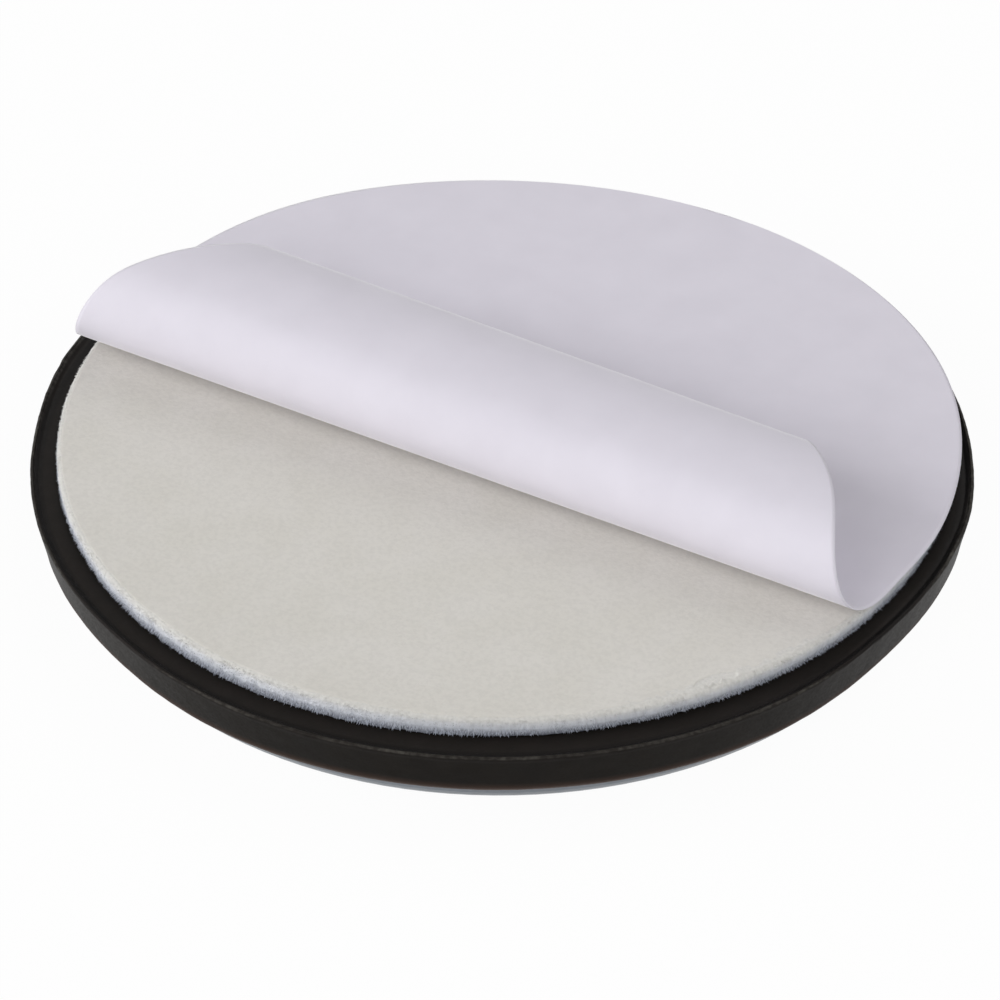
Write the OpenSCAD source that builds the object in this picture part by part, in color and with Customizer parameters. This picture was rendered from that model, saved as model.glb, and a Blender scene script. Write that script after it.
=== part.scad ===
// Self-adhesive furniture slider with its paper release liner peeled halfway and rolled back.
// Millimetres. The origin is the middle of the gliding face, +Z points up to the adhesive face,
// and the liner is peeled from the -Y side, so its roll lies along X.

/* [Rubber cushion] */
// Diameter over the cushion's rim
rim_d = 89; // [60:0.5:140]
// Height of the side wall, from its foot to the crest of the rim
wall_h = 4.8; // [3:0.1:8]
// How far the wall leans in from the rim to the foot
wall_draft = 0.7; // [0:0.1:1.5]
// Rounding of the wall's lower edge
foot_round = 1; // [0.2:0.1:1.4]
// Height of the lip above the floor that takes the pad
lip_h = 0.3; // [0.2:0.1:1]
// Width of the lip, from the outside to the floor
lip_w = 0.7; // [0.6:0.1:2]
// Rounding of the lip's crest
lip_round = 0.2; // [0.1:0.05:0.3]

/* [Glide plate] */
// Height of the plate that shows below the cushion
plate_h = 3.6; // [2:0.1:6]
// Height of the upright land between the rolled edge and the shoulder
plate_land = 0.1; // [0.05:0.05:0.5]
// How far the plate's edge lies inside the cushion's foot
plate_inset = 1.8; // [1.5:0.1:3]
// Thickness of the plate's gliding floor
plate_floor = 2.2; // [1.2:0.1:3]
// Width of the shoulder that carries the cushion's wall
shoulder_w = 2.4; // [1.5:0.1:4]
// Width of the raised ring that snaps into the cushion
ring_w = 2; // [1.2:0.1:4]
// Height of the ring above the shoulder
ring_h = 1.3; // [1:0.1:2]
// Height of the snap bead round the top of the ring
bead_h = 0.7; // [0.4:0.1:0.8]
// How far the snap bead stands out
bead_out = 0.6; // [0.2:0.1:1]
// Clearance between the ring and the groove that it snaps into
seat_gap = 0.1; // [0.05:0.05:0.3]

/* [Foam pad] */
// Thickness of the foam
foam_t = 1.6; // [0.8:0.1:4]
// Thickness of each adhesive film
film_t = 0.1; // [0.05:0.05:0.3]
// How far the films stop short of the foam's edge
film_inset = 0.2; // [0:0.1:1]
// Room between the pad and the lip where they come nearest
pad_clear = 0.1; // [0.1:0.1:3]
// How far off centre the pad is stuck, along X
pad_shift_x = -0.4; // [-1.5:0.1:1.5]
// How far off centre the pad is stuck, along Y
pad_shift_y = 1.3; // [-1.5:0.1:1.5]

/* [Release liner] */
// Thickness of the paper
paper_t = 0.12; // [0.08:0.01:0.25]
// How much further than the pad the liner reaches
liner_overlap = 0.55; // [0:0.05:2]
// How far off centre the liner lies, along X
liner_shift_x = -0.2; // [-1:0.1:1]
// How far off centre the liner lies, along Y
liner_shift_y = 0.6; // [-1:0.1:1]
// Line along which the paper has come away, as a Y position
peel_y = -2.6; // [-15:0.1:15]
// Depth of the last strip to come away, at the rear
end_strip = 10; // [6:0.5:20]
// Slit between that strip and the rest of the sheet
bend_slit = 0.05; // [0.02:0.01:0.1]
// Angle through which the peeled flap has rolled
roll_angle = 362; // [340:1:368]
// Radius of the roll's flat top over the radius of its tight front
oval_ratio = 2.4; // [1.2:0.1:2.6]
// Share by which the roll is wider at its left end than in the middle, and slimmer at its right end
taper_ratio = 0.04; // [0:0.01:0.06]

/* [Hidden] */
revolve_fn = 180;
round_steps = 10;
// How far the lip's crest is rounded over, up from the outside
lip_angle = 120;

// Heights
shoulder_z = plate_h;
ring_top = shoulder_z + ring_h;
crest_z = shoulder_z + wall_h;
floor_z = crest_z - lip_h;
foam_z = floor_z + film_t;
film_z = foam_z + foam_t;
liner_z = film_z + film_t;
sheet_z = liner_z + paper_t / 2;

// Radii
rim_r = rim_d / 2;
foot_r = rim_r - wall_draft;
floor_r = rim_r - lip_w;
plate_r = foot_r - plate_inset;
plate_round = plate_h - plate_land;
ring_r = plate_r - shoulder_w;
ring_in = ring_r - ring_w;
bead_r = ring_r + bead_out;
pad_shift = [pad_shift_x, pad_shift_y];
pad_r = floor_r - norm(pad_shift) - pad_clear;
liner_r = pad_r + liner_overlap;
liner_shift = [liner_shift_x, liner_shift_y];
bend_y = liner_shift_y + liner_r - end_strip;

// The roll is an oval wound from four arcs: foot, front, top and back, each [radius share, angle].
foot_ratio = 2.5;
foot_angle = 30;
front_angle = 115;
top_angle = 75;
back_ratio = 0.95;
back_angle = roll_angle - foot_angle - front_angle - top_angle;
roll_shares = [
    [foot_ratio, foot_angle], [1, front_angle], [oval_ratio, top_angle], [back_ratio, back_angle]
];
flap_l = peel_y - (liner_shift_y - liner_r);
tip_cut = 0.1;
roll_steps = 72;
tight_r = flap_l / sum_of([for (a = roll_shares) arc_l(a)]);
roll_arcs = [for (a = roll_shares) [a[0] * tight_r, a[1]]];

function sum_of(list, i = 0) = i == len(list) ? 0 : list[i] + sum_of(list, i + 1);
function arc_l(arc) = arc[0] * arc[1] * PI / 180;
function arc_points(centre, r, from, to) = [
    for (i = [0 : round_steps])
        let(a = from + (to - from) * i / round_steps) centre + r * [cos(a), sin(a)]
];

// Half the liner's width at a distance s from the peel line, before it was rolled
function flap_half(s) =
    sqrt(max(0, liner_r ^ 2 - (peel_y - s - liner_shift_y) ^ 2));

// [y, z, turn] of the sheet's middle at a distance s along the roll, found arc by arc
function roll_at(s, k = 0, y = peel_y, z = sheet_z, turn = 0) =
    let(
        r = roll_arcs[k][0],
        ends_here = k == len(roll_arcs) - 1 || s <= arc_l(roll_arcs[k]),
        step = ends_here ? s / r * 180 / PI : roll_arcs[k][1],
        y1 = y - r * (sin(turn + step) - sin(turn)),
        z1 = z + r * (cos(turn) - cos(turn + step))
    )
    ends_here ? [y1, z1, turn + step]
              : roll_at(s - arc_l(roll_arcs[k]), k + 1, y1, z1, turn + step);

// Corner of a row across the roll: x from the liner's middle, side 1 outside and -1 inside
function roll_corner(p, x, side) =
    let(
        k = 1 - taper_ratio * x / liner_r,
        out = side * paper_t / 2
    )
    [
        liner_shift_x + x,
        peel_y + k * (p[0] - peel_y) - out * sin(p[2]),
        sheet_z + k * (p[1] - sheet_z) - out * cos(p[2])
    ];

// One row across the roll: outer left, outer right, inner right, inner left
function roll_row(s) =
    let(p = roll_at(s), w = flap_half(s))
    [
        roll_corner(p, -w, 1), roll_corner(p, w, 1), roll_corner(p, w, -1), roll_corner(p, -w, -1)
    ];

// Shallow dish of slick plastic with a rolled edge and a snap ring
module glide_plate() {
    color("lightslategray") rotate_extrude($fn = revolve_fn) polygon(concat(
        [[0, 0]],
        arc_points([plate_r - plate_round, plate_round], plate_round, -90, 0),
        [
            [plate_r, shoulder_z], [ring_r, shoulder_z], [ring_r, ring_top - bead_h],
            [bead_r, ring_top - bead_h], [bead_r, ring_top], [ring_in, ring_top],
            [ring_in, plate_floor], [0, plate_floor]
        ]
    ));
}

// Black body: lipped floor above, boss and snap groove below
module rubber_cushion() {
    groove_top = ring_top + seat_gap;
    hook_top = ring_top - bead_h - seat_gap;
    color("#2b2926") rotate_extrude($fn = revolve_fn) polygon(concat(
        [
            [0, plate_floor], [ring_in - seat_gap, plate_floor],
            [ring_in - seat_gap, groove_top], [bead_r + seat_gap, groove_top],
            [bead_r + seat_gap, hook_top], [ring_r + seat_gap, hook_top],
            [ring_r + seat_gap, shoulder_z]
        ],
        arc_points([foot_r - foot_round, shoulder_z + foot_round], foot_round, -90, 0),
        arc_points([rim_r - lip_round, crest_z - lip_round], lip_round, 0, lip_angle),
        [[floor_r, floor_z], [0, floor_z]]
    ));
}

module pad_disc(r, z, t) {
    translate([pad_shift_x, pad_shift_y, z]) cylinder(r = r, h = t, $fn = revolve_fn);
}

module lower_adhesive() {
    color("wheat") pad_disc(pad_r - film_inset, floor_z, film_t);
}

module foam_pad() {
    color("whitesmoke") pad_disc(pad_r, foam_z, foam_t);
}

module upper_adhesive() {
    color("#cbc8c2") pad_disc(pad_r - film_inset, film_z, film_t);
}

// The stuck part of the liner between two Y positions
module liner_band(from, to) {
    color("ghostwhite") translate([0, 0, liner_z]) linear_extrude(paper_t) intersection() {
        translate(liner_shift) circle(liner_r, $fn = revolve_fn);
        translate([liner_shift_x - rim_r, from]) square([rim_d, to - from]);
    }
}

module liner_end_strip() {
    liner_band(bend_y + bend_slit / 2, liner_shift_y + rim_r);
}

module liner_flat() {
    liner_band(peel_y, bend_y - bend_slit / 2);
}

// The peeled flap: a disc segment rolled up without stretching
module liner_roll() {
    rows = [for (i = [0 : roll_steps]) roll_row((flap_l - tip_cut) * i / roll_steps)];
    corners = 4;
    last = corners * roll_steps;
    sides = [
        for (i = [0 : roll_steps - 1], k = [0 : corners - 1])
            let(a = corners * i + k, b = corners * i + (k + 1) % corners)
                each [[a, b, b + corners], [a, b + corners, a + corners]]
    ];
    color("ghostwhite") polyhedron(
        points = [for (row = rows) each row],
        faces = concat([[3, 2, 1, 0]], sides, [[last, last + 1, last + 2, last + 3]])
    );
}

glide_plate();
rubber_cushion();
lower_adhesive();
foam_pad();
upper_adhesive();
liner_end_strip();
liner_flat();
liner_roll();
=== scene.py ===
import math

import bpy
import numpy as np
from mathutils import Matrix, Vector

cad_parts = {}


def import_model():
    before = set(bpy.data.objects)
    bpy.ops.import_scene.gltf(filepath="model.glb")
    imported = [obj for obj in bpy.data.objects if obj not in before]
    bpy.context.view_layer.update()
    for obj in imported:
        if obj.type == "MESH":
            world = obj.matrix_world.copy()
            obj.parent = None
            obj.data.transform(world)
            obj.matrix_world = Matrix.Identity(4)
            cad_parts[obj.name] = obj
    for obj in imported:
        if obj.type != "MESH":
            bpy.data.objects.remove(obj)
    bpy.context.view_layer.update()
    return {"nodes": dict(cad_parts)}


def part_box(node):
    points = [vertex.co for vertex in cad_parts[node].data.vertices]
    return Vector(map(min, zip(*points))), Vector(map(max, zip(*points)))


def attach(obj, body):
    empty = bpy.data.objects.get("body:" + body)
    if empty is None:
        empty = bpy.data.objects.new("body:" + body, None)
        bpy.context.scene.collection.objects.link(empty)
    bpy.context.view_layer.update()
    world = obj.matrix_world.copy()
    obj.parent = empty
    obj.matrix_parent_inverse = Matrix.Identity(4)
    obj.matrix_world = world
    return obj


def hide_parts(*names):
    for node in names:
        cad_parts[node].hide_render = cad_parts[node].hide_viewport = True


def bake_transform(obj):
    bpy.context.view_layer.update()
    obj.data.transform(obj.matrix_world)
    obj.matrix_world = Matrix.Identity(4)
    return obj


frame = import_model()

# All sizes below are in millimetres, apart from the floor and the lamps; meshes are made in metres.
MM = 0.001


def box_mm(node):
    lo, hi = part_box(node)
    return np.array(lo) / MM, np.array(hi) / MM


_, plate_hi = box_mm("glide_plate")
rubber_lo, rubber_hi = box_mm("rubber_cushion")
lower_lo, _ = box_mm("lower_adhesive")
foam_lo, foam_hi = box_mm("foam_pad")
film_lo, film_hi = box_mm("upper_adhesive")
end_lo, end_hi = box_mm("liner_end_strip")
flat_lo, flat_hi = box_mm("liner_flat")

# Sizes read from the CAD nodes
PLATE_R = plate_hi[0]
RING_TOP = plate_hi[2]
RIM_R = rubber_hi[0]
CREST_Z = rubber_hi[2]
FLOOR_Z = lower_lo[2]
PAD_C = (foam_lo[:2] + foam_hi[:2]) / 2
PAD_R = (foam_hi[0] - foam_lo[0]) / 2
LINER_R = (flat_hi[0] - flat_lo[0]) / 2
LINER_C = np.array([(flat_lo[0] + flat_hi[0]) / 2, end_hi[1] - LINER_R])
PEEL_Y = flat_lo[1]
PAPER_T = flat_hi[2] - flat_lo[2]
PAPER_Z = flat_lo[2] + PAPER_T / 2
FACE_Z = film_hi[2]

# Sizes of the plate's snap ring and of the cushion's section, which no box shows
RING_H = 1.3
RING_W = 2.0
SHOULDER_W = 2.4
BEAD_H = 0.7
BEAD_OUT = 0.6
SEAT_GAP = 0.1
WALL_DRAFT = 0.7
FOOT_ROUND = 1.0
LIP_W = 0.7
LIP_ROUND = 0.22
SHOULDER_Z = RING_TOP - RING_H


# Value noise between -1 and 1 on a hashed lattice, the same at every run

def hashed(i, j, k, seed):
    n = i * 73856093 ^ j * 19349663 ^ k * 83492791 ^ np.int64(seed * 265443)
    n = (n ^ (n >> 13)) & 0x7FFFFFFF
    n = (n * (n * n * 15731 + 789221) + 1376312589) & 0x7FFFFFFF
    return n / 0x40000000 - 1.0


def noise(p, period, seed):
    q = np.asarray(p, float) / period
    i0 = np.floor(q).astype(np.int64)
    f = q - i0
    f = f * f * (3 - 2 * f)
    total = np.zeros(len(q))
    for dx in (0, 1):
        for dy in (0, 1):
            for dz in (0, 1):
                w = np.abs(1 - dx - f[:, 0]) * np.abs(1 - dy - f[:, 1]) * np.abs(1 - dz - f[:, 2])
                total += w * hashed(i0[:, 0] + dx, i0[:, 1] + dy, i0[:, 2] + dz, seed)
    return total


def fractal(p, period, seed, octaves=3):
    p = np.asarray(p, float)
    return sum(noise(p, period / 2 ** k, seed + k) / 2 ** k for k in range(octaves))


def smoothstep(a, b, x):
    t = np.clip((x - a) / (b - a), 0, 1)
    return t * t * (3 - 2 * t)


# Meshes

def mesh_object(name, verts, faces, material, body=None, smooth=True):
    mesh = bpy.data.meshes.new(name)
    mesh.from_pydata((np.asarray(verts) * MM).tolist(), [], faces)
    mesh.update()
    for poly in mesh.polygons:
        poly.use_smooth = smooth
    mesh.materials.append(material)
    obj = bpy.data.objects.new(name, mesh)
    bpy.context.scene.collection.objects.link(obj)
    if body:
        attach(obj, body)
    return obj


def line(p, q, n):
    t = np.linspace(0, 1, n)[:, None]
    return np.array(p) * (1 - t) + np.array(q) * t


def arc(centre, r, from_deg, to_deg, n):
    a = np.radians(np.linspace(from_deg, to_deg, n))
    return np.array(centre) + r * np.stack([np.cos(a), np.sin(a)], 1)


def join(*runs):
    """Profile runs in one list, without the points that two runs share."""
    points = np.concatenate([np.atleast_2d(np.array(r, float)) for r in runs])
    keep = np.r_[True, np.linalg.norm(np.diff(points, axis=0), axis=1) > 1e-6]
    return points[keep]


def ring_faces(rows, turns):
    """Quads between rows of a revolved surface, with a fan to a pole at each end."""
    faces = []
    last = 1 + (rows - 1) * turns
    pole = 1 + rows * turns
    nxt = [(i + 1) % turns for i in range(turns)]
    faces += [(0, 1 + nxt[i], 1 + i) for i in range(turns)]
    for k in range(rows - 1):
        a = 1 + k * turns
        b = a + turns
        faces += [(a + i, a + nxt[i], b + nxt[i], b + i) for i in range(turns)]
    faces += [(pole, last + i, last + nxt[i]) for i in range(turns)]
    return faces


def full_turn(turns):
    return np.linspace(0, 2 * math.pi, turns, endpoint=False)


def revolved(profile, turns):
    """Rows of points (rows, turns, 3) for the profile's points off the axis."""
    a = full_turn(turns)
    r, z = profile[:, :1], profile[:, 1:]
    return np.stack([r * np.cos(a), r * np.sin(a), z + 0 * a], 2)


def closed_turn(name, rows, first, last, material, body):
    """A revolved solid from its rows and its two poles."""
    verts = np.concatenate([[first], rows.reshape(-1, 3), [last]])
    return mesh_object(name, verts, ring_faces(rows.shape[0], rows.shape[1]), material, body)


# Materials

def srgb(r, g, b):
    def lin(v):
        v /= 255
        return v / 12.92 if v <= 0.04045 else ((v + 0.055) / 1.055) ** 2.4
    return (lin(r), lin(g), lin(b), 1)


class Shader:
    """A Principled material with a few short ways to add procedural nodes."""

    def __init__(self, name, colour, roughness, specular=0.5):
        self.mat = bpy.data.materials.new(name)
        self.mat.use_nodes = True
        self.tree = self.mat.node_tree
        self.bsdf = self.tree.nodes["Principled BSDF"]
        self.bsdf.inputs["Base Color"].default_value = colour
        self.bsdf.inputs["Roughness"].default_value = roughness
        self.bsdf.inputs["Specular IOR Level"].default_value = specular
        self.coord = self.tree.nodes.new("ShaderNodeTexCoord")

    def link(self, a, b):
        self.tree.links.new(a, b)

    def noise(self, period_mm, detail=3.0, stretch=None):
        n = self.tree.nodes.new("ShaderNodeTexNoise")
        n.inputs["Scale"].default_value = 1 / (period_mm * MM)
        n.inputs["Detail"].default_value = detail
        source = self.coord.outputs["Object"]
        if stretch:
            m = self.tree.nodes.new("ShaderNodeMapping")
            m.inputs["Scale"].default_value = stretch
            self.link(source, m.inputs["Vector"])
            source = m.outputs["Vector"]
        self.link(source, n.inputs["Vector"])
        return n.outputs["Fac"]

    def place(self):
        """The point's distance from the part's axis and its height, in metres."""
        n = self.tree.nodes.new("ShaderNodeSeparateXYZ")
        self.link(self.coord.outputs["Object"], n.inputs["Vector"])
        x, y, z = n.outputs
        squares = self.math("ADD", self.math("MULTIPLY", x, x), self.math("MULTIPLY", y, y))
        return self.math("SQRT", squares, 0.0), z

    def between(self, value, lo_mm, hi_mm):
        """0 below lo, 1 above hi, eased in between; the other way round if hi is the smaller."""
        n = self.tree.nodes.new("ShaderNodeMapRange")
        n.interpolation_type = "SMOOTHSTEP"
        ends = (lo_mm, hi_mm, 0.0, 1.0) if lo_mm < hi_mm else (hi_mm, lo_mm, 1.0, 0.0)
        for name, v in zip(("From Min", "From Max"), ends[:2]):
            n.inputs[name].default_value = v * MM
        for name, v in zip(("To Min", "To Max"), ends[2:]):
            n.inputs[name].default_value = v
        self.link(value, n.inputs["Value"])
        return n.outputs["Result"]

    def ramp(self, fac, stops):
        n = self.tree.nodes.new("ShaderNodeValToRGB")
        e = n.color_ramp.elements
        while len(e) < len(stops):
            e.new(0.5)
        for slot, (pos, colour) in zip(e, stops):
            slot.position = pos
            slot.color = colour
        self.link(fac, n.inputs["Fac"])
        return n.outputs["Color"]

    def math(self, op, a, b):
        n = self.tree.nodes.new("ShaderNodeMath")
        n.operation = op
        for socket, v in zip(n.inputs, (a, b)):
            if isinstance(v, (int, float)):
                socket.default_value = v
            else:
                self.link(v, socket)
        return n.outputs["Value"]

    def mix(self, fac, a, b, blend="MIX"):
        n = self.tree.nodes.new("ShaderNodeMix")
        n.data_type = "RGBA"
        n.blend_type = blend
        fac_in, a_in, b_in = n.inputs[0], n.inputs[6], n.inputs[7]
        for socket, v in zip((fac_in, a_in, b_in), (fac, a, b)):
            if isinstance(v, (int, float, tuple)):
                socket.default_value = v
            else:
                self.link(v, socket)
        return n.outputs[2]

    def colour(self, out):
        self.link(out, self.bsdf.inputs["Base Color"])

    def rough(self, out):
        self.link(out, self.bsdf.inputs["Roughness"])

    def bump(self, height, depth_mm, strength=1.0):
        n = self.tree.nodes.new("ShaderNodeBump")
        n.inputs["Strength"].default_value = strength
        n.inputs["Distance"].default_value = depth_mm * MM
        self.link(height, n.inputs["Height"])
        self.link(n.outputs["Normal"], self.bsdf.inputs["Normal"])


def grey(v):
    return (v, v, v, 1)


def plate_material():
    s = Shader("plate_plastic", srgb(118, 125, 134), 0.3, 0.3)
    grain = s.noise(0.6, 4)
    s.colour(s.ramp(grain, [(0.3, srgb(114, 121, 130)), (0.7, srgb(122, 129, 138))]))
    s.bump(grain, 0.01, 0.4)
    return s.mat


def rubber_material():
    """Matt black, with a foot painted lighter and browner (a brown tint plus a painted reflection of the
    floor), painted shade in the groove inside the lip, painted highlight specks on the crest, and the ring
    painted lighter than the wall.
    """
    s = Shader("black_rubber", srgb(19, 18, 16), 0.45, 0.07)
    s.bsdf.inputs["Specular Tint"].default_value = (1.0, 0.88, 0.85, 1)
    r, z = s.place()
    # Painted light and shade: the side wall is painted darker and the ring's floor lighter, though both
    # are the same rubber; each also varies at random.
    wall = s.ramp(s.noise(3.0, 4), [(0.3, srgb(15, 13, 10)), (0.7, srgb(19, 16, 12))])
    # Lighter, browner foot: the brown is the rubber's tint, and the lightness is a painted reflection of
    # the white floor.
    base = s.mix(s.between(z, SHOULDER_Z + 1.5, SHOULDER_Z + 0.2), wall, srgb(72, 57, 50))
    ring = s.ramp(s.noise(2.0, 4), [(0.3, srgb(23, 21, 19)), (0.7, srgb(27, 24, 22))])
    # Painted shade: the groove inside the lip is painted darker, where shade falls in it.
    groove_in, groove_out = s.between(r, RIM_R - 1.4, RIM_R - 0.95), s.between(r, RIM_R - 0.3, RIM_R - 0.5)
    groove = s.math("MULTIPLY", groove_in, groove_out)
    ring = s.mix(groove, ring, srgb(17, 16, 15))
    base = s.mix(s.between(z, FLOOR_Z - 0.4, FLOOR_Z - 0.2), base, ring)
    # Painted highlight: pale specks on the crest's outer rounding stand for the light it catches; the mask
    # called worn below is this painted highlight, not wear.
    outer, upper = s.between(r, RIM_R - 0.3, RIM_R - 0.16), s.between(z, CREST_Z - 0.25, CREST_Z - 0.1)
    edge = s.math("MULTIPLY", outer, upper)
    specks = s.ramp(s.noise(0.55, 3), [(0.4, grey(0.25)), (0.62, grey(1))])
    runs = s.ramp(s.noise(6.0, 2), [(0.36, grey(0.3)), (0.6, grey(1))])
    worn = s.math("MULTIPLY", s.math("MULTIPLY", edge, specks), runs)
    s.colour(s.mix(worn, base, srgb(68, 66, 62)))
    grain = s.noise(0.25, 3)
    s.rough(s.ramp(grain, [(0.3, grey(0.4)), (0.7, grey(0.52))]))
    s.bump(grain, 0.02, 0.4)
    return s.mat


def foam_material(name, tones):
    """White foam, with (height share, colour) tones from its foot up to its face; the darkening towards
    the foot is painted shade.
    """
    s = Shader(name, srgb(200, 202, 210), 0.95, 0.1)
    _, z = s.place()
    tone = s.ramp(s.between(z, FLOOR_Z, FACE_Z), tones)
    fibre = s.noise(0.3, 4, stretch=(1, 1, 0.4))
    shade = s.ramp(fibre, [(0.3, grey(0.86)), (0.7, grey(1.0))])
    s.colour(s.mix(1.0, tone, shade, "MULTIPLY"))
    s.bump(fibre, 0.06, 0.5)
    s.bsdf.inputs["Subsurface Weight"].default_value = 0.3
    s.bsdf.inputs["Subsurface Radius"].default_value = (0.4, 0.4, 0.4)
    s.bsdf.inputs["Subsurface Scale"].default_value = MM
    return s.mat


def film_material():
    """Warm grey adhesive with a fine crepe grain."""
    s = Shader("tacky_film", srgb(216, 213, 206), 0.6, 0.25)
    cloud = s.noise(6.0, 3)
    base = s.ramp(cloud, [(0.35, srgb(218, 215, 208)), (0.65, srgb(221, 218, 212))])
    crepe = s.noise(0.42, 3)
    shade = s.ramp(crepe, [(0.35, grey(0.945)), (0.6, grey(1.0))])
    s.colour(s.mix(1.0, base, shade, "MULTIPLY"))
    s.bump(crepe, 0.05, 0.7)
    return s.mat


def paper_material():
    """Coated white paper, with a fibre sheen where it is seen edge on."""
    s = Shader("release_paper", srgb(228, 224, 234), 0.6, 0.1)
    cloud = s.noise(5.0, 4)
    s.colour(s.ramp(cloud, [(0.3, srgb(226, 222, 232)), (0.7, srgb(230, 226, 236))]))
    s.bump(s.noise(0.5, 4), 0.01, 0.3)
    s.bsdf.inputs["Sheen Weight"].default_value = 0.55
    s.bsdf.inputs["Sheen Roughness"].default_value = 0.3
    return s.mat


PLATE = plate_material()
RUBBER = rubber_material()
# Foam colours by height: white above, and darker towards the foot as painted shade, strong in the pad and
# mild in the fibres.
UPPER_TONES = [(0.4, srgb(222, 225, 232)), (0.75, srgb(235, 236, 239)), (1.0, srgb(224, 222, 217))]
FOAM = foam_material(
    "white_foam", [(0.0, srgb(112, 116, 126)), (0.16, srgb(166, 170, 180)), *UPPER_TONES]
)
FIBRE = foam_material("foam_fibre", [(0.0, srgb(190, 196, 210)), *UPPER_TONES])
FILM = film_material()
PAPER = paper_material()


# Glide plate and lower film: the CAD solids carry over

for name, material in (("glide_plate", PLATE), ("lower_adhesive", FILM)):
    node = frame["nodes"][name]
    node.data.materials.clear()
    node.data.materials.append(material)


# Outlines that depart a little from a circle

def degrees_from(at, a):
    """How far an angle in radians is turned past one in degrees, from -180 to 180 degrees."""
    return (np.degrees(a) - at + 180) % 360 - 180


def trimmed(a, bumps):
    """How far a trimmed outline departs from its circle at an angle, from bumps (at, width, amount)."""
    return sum(amount * np.exp(-(degrees_from(at, a) / width) ** 2) for at, width, amount in bumps)


# Rubber cushion: the CAD section, with the small unevenness of moulded rubber

RIM_TRIM = ((-113, 14, -0.3), (-7, 12, -0.4), (18, 10, 0.25), (186, 14, 0.85))


def rubber_profile():
    """Half the section, from the boss on the plate round to the floor that takes the pad."""
    ring_r = PLATE_R - SHOULDER_W
    boss, neck = ring_r - RING_W - SEAT_GAP, ring_r + SEAT_GAP
    catch = ring_r + BEAD_OUT + SEAT_GAP
    low, roof, hook = rubber_lo[2], RING_TOP + SEAT_GAP, RING_TOP - BEAD_H - SEAT_GAP
    foot_r, floor_r = RIM_R - WALL_DRAFT, RIM_R - LIP_W
    groove_r, groove_z = floor_r - 0.1, FLOOR_Z - 0.06
    ring_in = floor_r - 0.45
    return join(
        line((30, low), (boss, low), 4),
        line((boss, low), (boss, roof), 3),
        line((boss, roof), (catch, roof), 3),
        line((catch, roof), (catch, hook), 3),
        line((catch, hook), (neck, hook), 3),
        line((neck, hook), (neck, SHOULDER_Z), 3),
        line((neck, SHOULDER_Z), (foot_r - FOOT_ROUND, SHOULDER_Z), 8),
        arc((foot_r - FOOT_ROUND, SHOULDER_Z + FOOT_ROUND), FOOT_ROUND, -90, 0, 14),
        line((foot_r, SHOULDER_Z + FOOT_ROUND), (RIM_R, CREST_Z - LIP_ROUND), 18),
        arc((RIM_R - LIP_ROUND, CREST_Z - LIP_ROUND), LIP_ROUND, 0, 115, 12),
        line((RIM_R - 0.31, CREST_Z - 0.02), (groove_r, groove_z), 8),
        line((groove_r, groove_z), (ring_in, FLOOR_Z), 5),
        line((ring_in, FLOOR_Z), (38, FLOOR_Z), 20),
        line((38, FLOOR_Z), (10, FLOOR_Z), 4),
    )


def rubber_cushion():
    turns = 1440
    rows = revolved(rubber_profile(), turns)
    flat = rows.reshape(-1, 3)
    r = np.hypot(flat[:, 0], flat[:, 1])
    seen = smoothstep(40.5, 41.5, r) * smoothstep(SHOULDER_Z - 0.01, SHOULDER_Z + 0.5, flat[:, 2])
    crest = np.exp(-((flat[:, 2] - CREST_Z + 0.1) / 0.12) ** 2) * seen
    dr = 0.02 * fractal(flat, 2.0, 11) * seen
    dr += trimmed(np.arctan2(flat[:, 1], flat[:, 0]), RIM_TRIM) * smoothstep(40.5, 43, r)
    dr += 0.035 * crest * fractal(flat, 0.8, 23, 2)
    dz = 0.02 * fractal(flat, 1.2, 31, 2) * seen * smoothstep(43, 43.6, r)
    flat[:, 0] *= 1 + dr / r
    flat[:, 1] *= 1 + dr / r
    flat[:, 2] += np.minimum(dz, CREST_Z - flat[:, 2])
    obj = closed_turn("rubber_body", rows, (0, 0, rubber_lo[2]), (0, 0, FLOOR_Z), RUBBER, "slider")
    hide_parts("rubber_cushion")


rubber_cushion()


# Foam pad: die cut, with an upright fuzzy edge and one small tear

PAD_TRIM = ((32, 17, 0.8), (107, 30, -0.6))
FOOT_TRIM = ((-84, 34, 0.52),)
FOOT_BACK = 0.12
EDGE_ROUND = 0.5
# The foam's top lies a little below the face of the film, and comes up to it round the edge
FILM_SINK = 0.035
FILM_BACK = 0.34
TEAR_AT = -33.2
TEAR_DEPTH = 0.95
TEAR_LUMPS = 0.26
FRAY_DEPTH = 0.35
FRAY_LUMPS = 0.04
BARE_W = 1.5


def pad_edge(a):
    return PAD_R + trimmed(a, PAD_TRIM)


def tear(a):
    """How far the pad's upper edge is torn away at an angle, from 0 to 1."""
    d = degrees_from(TEAR_AT, a)
    return smoothstep(-3.2, -0.6, d) * (1 - smoothstep(0.6, 5.5, d))


def frayed(a):
    """How far the film is worn back beside the tear at an angle, from 0 to 1."""
    d = degrees_from(TEAR_AT, a)
    return smoothstep(-18, -4, d) * (1 - smoothstep(12, 20, d))


def face_edge(a):
    """Radius at which the tacky face ends, a little ragged."""
    around = np.stack([PAD_R * np.cos(a), PAD_R * np.sin(a), 0 * a], 1)
    ragged = fractal(around, 0.8, 83)
    lost = (FRAY_DEPTH + 0.15 * ragged) * frayed(a) + TEAR_DEPTH * tear(a)
    return pad_edge(a) - FILM_BACK + 0.05 * ragged - lost


def around_pad(r, a, z):
    return np.stack([PAD_C[0] + r * np.cos(a), PAD_C[1] + r * np.sin(a), z + 0 * a], -1)


def side_r(a, h):
    """Radius of the pad's side at an angle, and at a share of its height."""
    return pad_edge(a) + (trimmed(a, FOOT_TRIM) - FOOT_BACK) * (1 - h) ** 1.6


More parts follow.
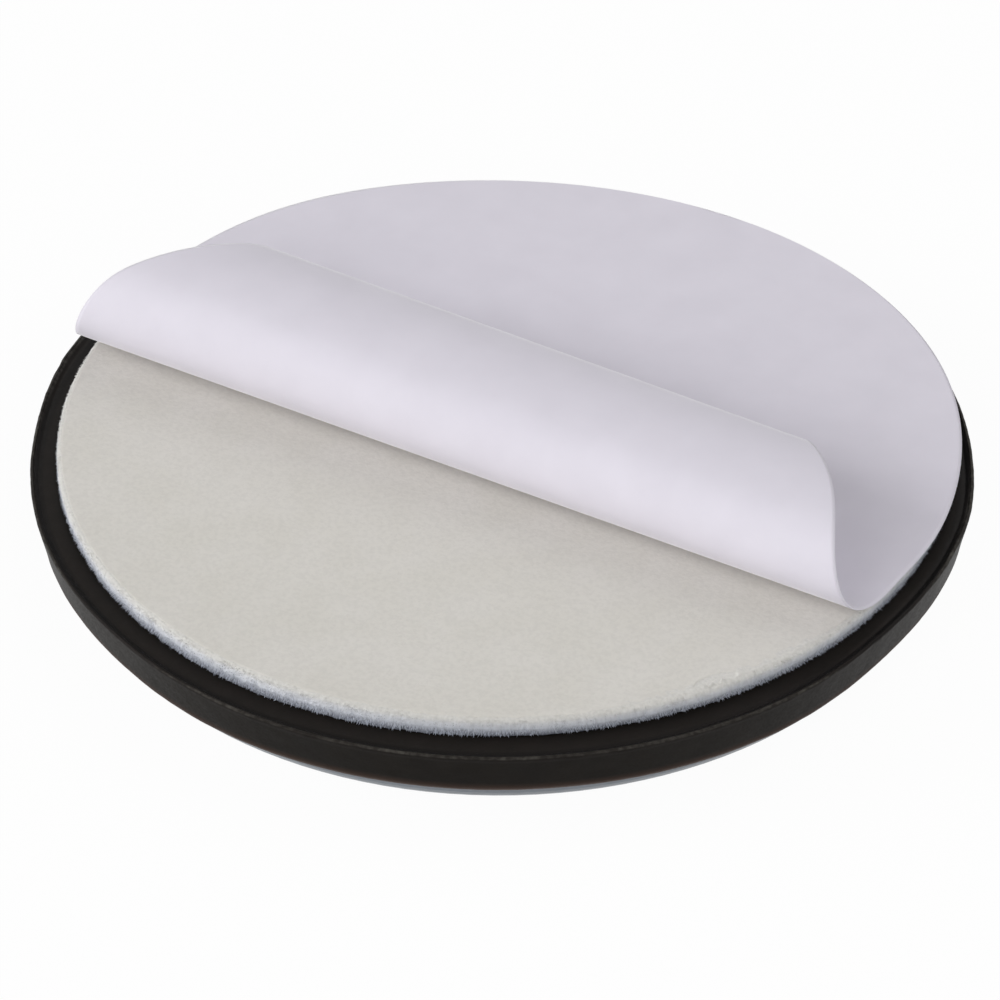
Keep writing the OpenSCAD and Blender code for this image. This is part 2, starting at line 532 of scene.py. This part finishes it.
def foam_rows(low, high, under):
    """The smooth pad: its underside, side, rounded edge, bare top and the bed of the film."""
    a = full_turn(3200)
    outer, torn = pad_edge(a), tear(a)
    rows = [around_pad(share * outer, a, low) for share in (0.3, 0.6, 0.9, 0.98)]
    for h in np.linspace(0, 1, 14):
        rows.append(around_pad(side_r(a, h), a, low + (high - EDGE_ROUND - low) * h))
    for b in np.radians(np.linspace(12, 90, 8)):
        r, z = outer - EDGE_ROUND * (1 - np.cos(b)), high - EDGE_ROUND * (1 - np.sin(b))
        rows.append(around_pad(r, a, z))
    for inward in np.linspace(0.12, BARE_W, 12):
        bed = 0.05 * torn * math.sin(math.pi * min(1, inward / BARE_W))
        rows.append(around_pad(outer - EDGE_ROUND - inward, a, high - bed))
    rows += [around_pad(share * outer, a, under) for share in (0.94, 0.85, 0.6, 0.3)]
    return np.array(rows)


def foam_pad():
    low, high, under = foam_lo[2], FACE_Z - FILM_SINK, film_lo[2] - 0.01
    points = foam_rows(low, high, under)
    flat = points.reshape(-1, 3)
    out = flat - [*PAD_C, 0]
    r = np.hypot(out[:, 0], out[:, 1])
    turn = np.arctan2(out[:, 1], out[:, 0])
    past = r - pad_edge(turn)
    side = smoothstep(-0.5, -0.2, past)
    foot = 1 - smoothstep(low, low + 0.8, flat[:, 2])
    bed_z = under + 0.05
    streak = fractal(flat * [1, 1, 0.3], 0.34, 41, 2)
    clump = fractal(flat * [1, 1, 0.5], 1.5, 53, 2)
    ragged = noise(flat * [1, 1, 0.3], 0.45, 67)
    dr = side * (0.05 * streak + 0.04 * clump + 0.1 * foot * ragged)
    flat[:, 0] += dr * out[:, 0] / r
    flat[:, 1] += dr * out[:, 1] / r
    worn = side * smoothstep(high - 0.3, high, flat[:, 2]) + tear(turn) * smoothstep(-1.4, -1.0, past)
    flat[:, 2] -= np.clip(worn, 0, 1) * 0.03 * (1 + fractal(flat, 0.4, 71, 2)) * (flat[:, 2] > bed_z)
    bare = smoothstep(-1.6, -1.0, past) * (1 - smoothstep(-0.35, -0.1, past))
    lumps = np.clip(0.5 + fractal(flat * [1, 1, 0], 0.6, 73, 2), 0, 1)
    rise = TEAR_LUMPS * tear(turn) + FRAY_LUMPS * frayed(turn)
    flat[:, 2] += bare * lumps * rise * (flat[:, 2] > bed_z)
    obj = closed_turn("foam_body", points, (*PAD_C, low), (*PAD_C, under), FOAM, "slider")
    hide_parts("foam_pad")


# Fuzz on the cut edge: number, lowest and highest share of the height, lean upwards, then the fibres'
# shortest and longest length and their largest half width
FUZZ = (
    (6800, 0.06, 0.36, -0.9, 0.16, 0.42, 0.095),
    (8000, 0.3, 0.9, -0.3, 0.1, 0.25, 0.06),
    (5200, 0.86, 0.98, 0.0, 0.06, 0.16, 0.045),
)


def foam_fibres():
    """Short fine fibres that stand out from the cut edge, the longest at its foot."""
    rng = np.random.default_rng(5)
    up = np.array([0, 0, 1.0])
    low, tall = foam_lo[2], FACE_Z - foam_lo[2]
    verts = []
    for count, lowest, highest, lean, shortest, longest, widest in FUZZ:
        a = rng.uniform(0, 2 * math.pi, count)
        h = rng.uniform(lowest, highest, count)
        radial = np.stack([np.cos(a), np.sin(a), 0 * a], 1)
        tangent = np.stack([-np.sin(a), np.cos(a), 0 * a], 1)
        base = around_pad(side_r(a, h) - 0.05 - 0.35 * smoothstep(0.82, 1, h), a, low + tall * h)
        rise = rng.normal(lean, 0.35, count)
        way = radial + tangent * rng.normal(0, 0.4, count)[:, None] + up * rise[:, None]
        way /= np.linalg.norm(way, axis=1)[:, None]
        tip = base + way * rng.uniform(shortest, longest, count)[:, None]
        tip[:, 2] = np.clip(tip[:, 2], FLOOR_Z + 0.02, FACE_Z - 0.005)
        wide = rng.uniform(0.5 * widest, widest, count)[:, None]
        for b in np.radians((90, 210, 330)):
            verts.append(base + wide * (math.cos(b) * tangent + math.sin(b) * up))
        verts.append(tip)
    faces, first = [], 0
    for count, *_ in FUZZ:
        for p in range(first, first + count):
            q, r, tip = p + count, p + 2 * count, p + 3 * count
            faces += [(p, q, tip), (q, r, tip), (r, p, tip), (r, q, p)]
        first += 4 * count
    obj = mesh_object("foam_fibres", np.concatenate(verts), faces, FIBRE, "slider", smooth=False)


foam_pad()
foam_fibres()


# Upper adhesive film

def upper_film():
    """The tacky face, closest in rings near its edge, where it bends down onto the foam."""
    a = full_turn(900)
    edge = face_edge(a)
    low = film_lo[2]
    rows = [around_pad(share * edge, a, low) for share in (0.5, 0.98, 0.999)]
    for share in 1 - 0.998 * np.linspace(0, 1, 160) ** 1.5:
        ring = around_pad(share * edge, a, FACE_Z)
        ring[:, 2] -= 0.01 * (1 + fractal(ring, 1.4, 97)) * smoothstep(0, 0.1, share)
        ring[:, 2] -= 0.07 * smoothstep(0.995, 1, share) ** 2
        rows.append(ring)
    obj = closed_turn("adhesive_face", np.array(rows), (*PAD_C, low), (*PAD_C, FACE_Z), FILM, "slider")
    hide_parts("upper_adhesive")


upper_film()


# Release liner: one round sheet, its front half peeled and rolled up without stretching

# The roll's arcs from its foot to its tip: share of the tightest radius, and degrees
ROLL_ARCS = ((2.5, 30), (1.0, 139), (4.3, 29), (0.94, 184))
# The roll is wider by this share at its left end, and slimmer at its right end
TAPER = 0.05
LIFT_Y = PEEL_Y + 0.4
FLAP = LIFT_Y - (LINER_C[1] - LINER_R)
# Flat run of the section before the paper lifts, and the distance over which two arcs ease
LEAD = 8
EASE = 0.9
LINER_TRIM = (
    (-43, 8, -0.35), (-2, 8, -0.5), (44, 26, 0.65), (107, 24, -0.5),
    (153, 20, 1.0), (193, 9, 0.25), (216, 13, -0.6),
)


def roll_table():
    """The roll's section: distance along the sheet, y, z and turn, with eased bends."""
    tight = FLAP / sum(k * math.radians(t) for k, t in ROLL_ARCS)
    step = 0.02
    s = np.arange(-LEAD, FLAP * 1.12, step)
    bend = np.zeros(len(s))
    at = 0.0
    for i, (k, t) in enumerate(ROLL_ARCS):
        length = k * tight * math.radians(t)
        last = i == len(ROLL_ARCS) - 1
        bend[(s >= at) & ((s < at + length) | last)] = 1 / (k * tight)
        at += length
    reach = np.arange(-3, 3 + step, step)
    soft = np.exp(-((reach / EASE) ** 2))
    padded = np.pad(bend, len(reach) // 2, mode="edge")
    bend = np.convolve(padded, soft / soft.sum(), mode="valid")[: len(s)]
    turn = np.cumsum(bend) * step
    y = LIFT_Y + LEAD - np.cumsum(np.cos(turn)) * step
    z = PAPER_Z + np.cumsum(np.sin(turn)) * step
    return s, y, z, turn


def liner_points(rows, cols):
    """The sheet's upper and lower points, row by row from its front edge to its rear edge."""
    share = np.linspace(0, 1, rows)
    share = 0.75 * share + 0.25 * (1 - np.cos(math.pi * share)) / 2
    fy = (LINER_R - 0.02) * (2 * share - 1)
    half = np.sqrt(LINER_R ** 2 - fy ** 2)
    t = np.linspace(-1, 1, cols)
    t = 0.8 * t + 0.2 * np.sin(t * math.pi / 2)
    fx = half[:, None] * t[None, :]
    fy = np.repeat(fy[:, None], cols, 1)
    grow = 1 + trimmed(np.arctan2(fy, fx), LINER_TRIM) * np.hypot(fx, fy) ** 2 / LINER_R ** 3
    x = LINER_C[0] + fx * grow
    along = LIFT_Y - LINER_C[1] - fy * grow
    k = 1 - TAPER * (x - LINER_C[0]) / LINER_R
    s, section_y, section_z, section_turn = roll_table()
    y = LIFT_Y + k * (np.interp(along / k, s, section_y) - LIFT_Y)
    z = PAPER_Z + k * (np.interp(along / k, s, section_z) - PAPER_Z)
    turn = np.interp(along / k, s, section_turn)
    stuck = along <= k * s[0]
    y[stuck] = LIFT_Y - along[stuck]
    z[stuck] = PAPER_Z
    turn[stuck] = 0
    mid = np.stack([x, y, z], 2)
    half_t = np.stack([0 * turn, -np.sin(turn), -np.cos(turn)], 2) * PAPER_T / 2
    return np.concatenate([(mid - half_t).reshape(-1, 3), (mid + half_t).reshape(-1, 3)])


def sheet_faces(rows, cols):
    """Quads of a sheet's two sides, and of the edge all round between them."""
    n = rows * cols
    faces = []
    for i in range(rows - 1):
        for j in range(cols - 1):
            a = i * cols + j
            b, c, d = a + 1, a + cols + 1, a + cols
            faces += [(a, b, c, d), (n + d, n + c, n + b, n + a)]
    rim = list(range(cols))
    rim += [i * cols + cols - 1 for i in range(1, rows)]
    rim += [(rows - 1) * cols + j for j in range(cols - 2, -1, -1)]
    rim += [i * cols for i in range(rows - 2, 0, -1)]
    faces += [(p, n + p, n + q, q) for p, q in zip(rim, rim[1:] + rim[:1])]
    return faces


def liner():
    rows, cols = 330, 150
    obj = mesh_object("liner_sheet", liner_points(rows, cols), sheet_faces(rows, cols), PAPER)
    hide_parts("liner_end_strip", "liner_flat", "liner_roll")
    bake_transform(obj)


liner()


# Floor, light and camera

FLOOR_M = 6.0
# Share of the floor that is plain white to the camera; the rest takes the shadow
FLOOR_WHITE = 0.96
WORLD_LIGHT = 0.2
LAMP_M = 1.2
# Name, azimuth and elevation in degrees, size in metres, watts
LAMPS = (
    ("left", -60, 20, 0.7, 7.5),
    ("front", 0, 35, 0.7, 3.7),
    ("right", 60, 35, 0.7, 3.1),
    ("back", 150, 50, 1.3, 4.4),
)


def white_to_camera(tree):
    """Is Camera, Glossy or Transmission Ray as one factor."""
    path = tree.nodes.new("ShaderNodeLightPath")
    total = path.outputs["Is Camera Ray"]
    for name in ("Is Glossy Ray", "Is Transmission Ray"):
        add = tree.nodes.new("ShaderNodeMath")
        add.operation = "MAXIMUM"
        tree.links.new(total, add.inputs[0])
        tree.links.new(path.outputs[name], add.inputs[1])
        total = add.outputs["Value"]
    return total


def floor():
    mat = bpy.data.materials.new("white_floor")
    mat.use_nodes = True
    tree = mat.node_tree
    tree.nodes.clear()
    out = tree.nodes.new("ShaderNodeOutputMaterial")
    diffuse = tree.nodes.new("ShaderNodeBsdfDiffuse")
    diffuse.inputs["Color"].default_value = (0.9, 0.9, 0.9, 1)
    glow = tree.nodes.new("ShaderNodeEmission")
    glow.inputs["Strength"].default_value = 1.0
    share = tree.nodes.new("ShaderNodeMath")
    share.operation = "MULTIPLY"
    share.inputs[1].default_value = FLOOR_WHITE
    tree.links.new(white_to_camera(tree), share.inputs[0])
    mix = tree.nodes.new("ShaderNodeMixShader")
    tree.links.new(share.outputs["Value"], mix.inputs["Fac"])
    tree.links.new(diffuse.outputs["BSDF"], mix.inputs[1])
    tree.links.new(glow.outputs["Emission"], mix.inputs[2])
    tree.links.new(mix.outputs["Shader"], out.inputs["Surface"])
    mesh = bpy.data.meshes.new("floor")
    w = FLOOR_M / 2
    mesh.from_pydata([(-w, -w, 0), (w, -w, 0), (w, w, 0), (-w, w, 0)], [], [(0, 1, 2, 3)])
    mesh.materials.append(mat)
    obj = bpy.data.objects.new("floor", mesh)
    bpy.context.scene.collection.objects.link(obj)


def world():
    w = bpy.data.worlds.new("studio")
    bpy.context.scene.world = w
    w.use_nodes = True
    tree = w.node_tree
    tree.nodes.clear()
    out = tree.nodes.new("ShaderNodeOutputWorld")
    light = tree.nodes.new("ShaderNodeBackground")
    light.inputs["Strength"].default_value = WORLD_LIGHT
    white = tree.nodes.new("ShaderNodeBackground")
    for background in (light, white):
        background.inputs["Color"].default_value = (1, 1, 1, 1)
    mix = tree.nodes.new("ShaderNodeMixShader")
    tree.links.new(white_to_camera(tree), mix.inputs["Fac"])
    tree.links.new(light.outputs["Background"], mix.inputs[1])
    tree.links.new(white.outputs["Background"], mix.inputs[2])
    tree.links.new(mix.outputs["Shader"], out.inputs["Surface"])


def direction(azimuth, elevation):
    """Unit vector towards an azimuth, counted from -Y towards +X, and an elevation."""
    a, e = math.radians(azimuth), math.radians(elevation)
    return Vector((math.sin(a) * math.cos(e), -math.cos(a) * math.cos(e), math.sin(e)))


def lamp(name, azimuth, elevation, size, watts):
    data = bpy.data.lights.new(name, "AREA")
    data.shape = "DISK"
    data.size = size
    data.energy = watts
    obj = bpy.data.objects.new(name, data)
    back = direction(azimuth, elevation)
    obj.location = back * LAMP_M
    obj.rotation_mode = "QUATERNION"
    obj.rotation_quaternion = (-back).to_track_quat("-Z", "Y")
    bpy.context.scene.collection.objects.link(obj)


def camera():
    azimuth, elevation, roll = 30.88, 37.84, -0.33
    distance, lens = 450.0, 171.07
    shift_right, shift_up = -0.15, -4.7
    a = math.radians(azimuth)
    right = Vector((math.cos(a), math.sin(a), 0))
    back = direction(azimuth, elevation)
    up = back.cross(right)
    target = Vector((0, 0, CREST_Z)) + shift_right * right + shift_up * up
    c, s = math.cos(math.radians(roll)), math.sin(math.radians(roll))
    right, up = c * right + s * up, c * up - s * right
    data = bpy.data.cameras.new("camera")
    data.sensor_width = 36
    data.lens = lens
    data.clip_start, data.clip_end = 0.01, 20
    obj = bpy.data.objects.new("camera", data)
    turn = Matrix((right, up, back)).transposed().to_4x4()
    obj.matrix_world = Matrix.Translation((target + back * distance) * MM) @ turn
    bpy.context.scene.collection.objects.link(obj)
    bpy.context.scene.camera = obj


floor()
world()
for settings in LAMPS:
    lamp(*settings)
camera()
bpy.context.scene.view_settings.view_transform = "Standard"
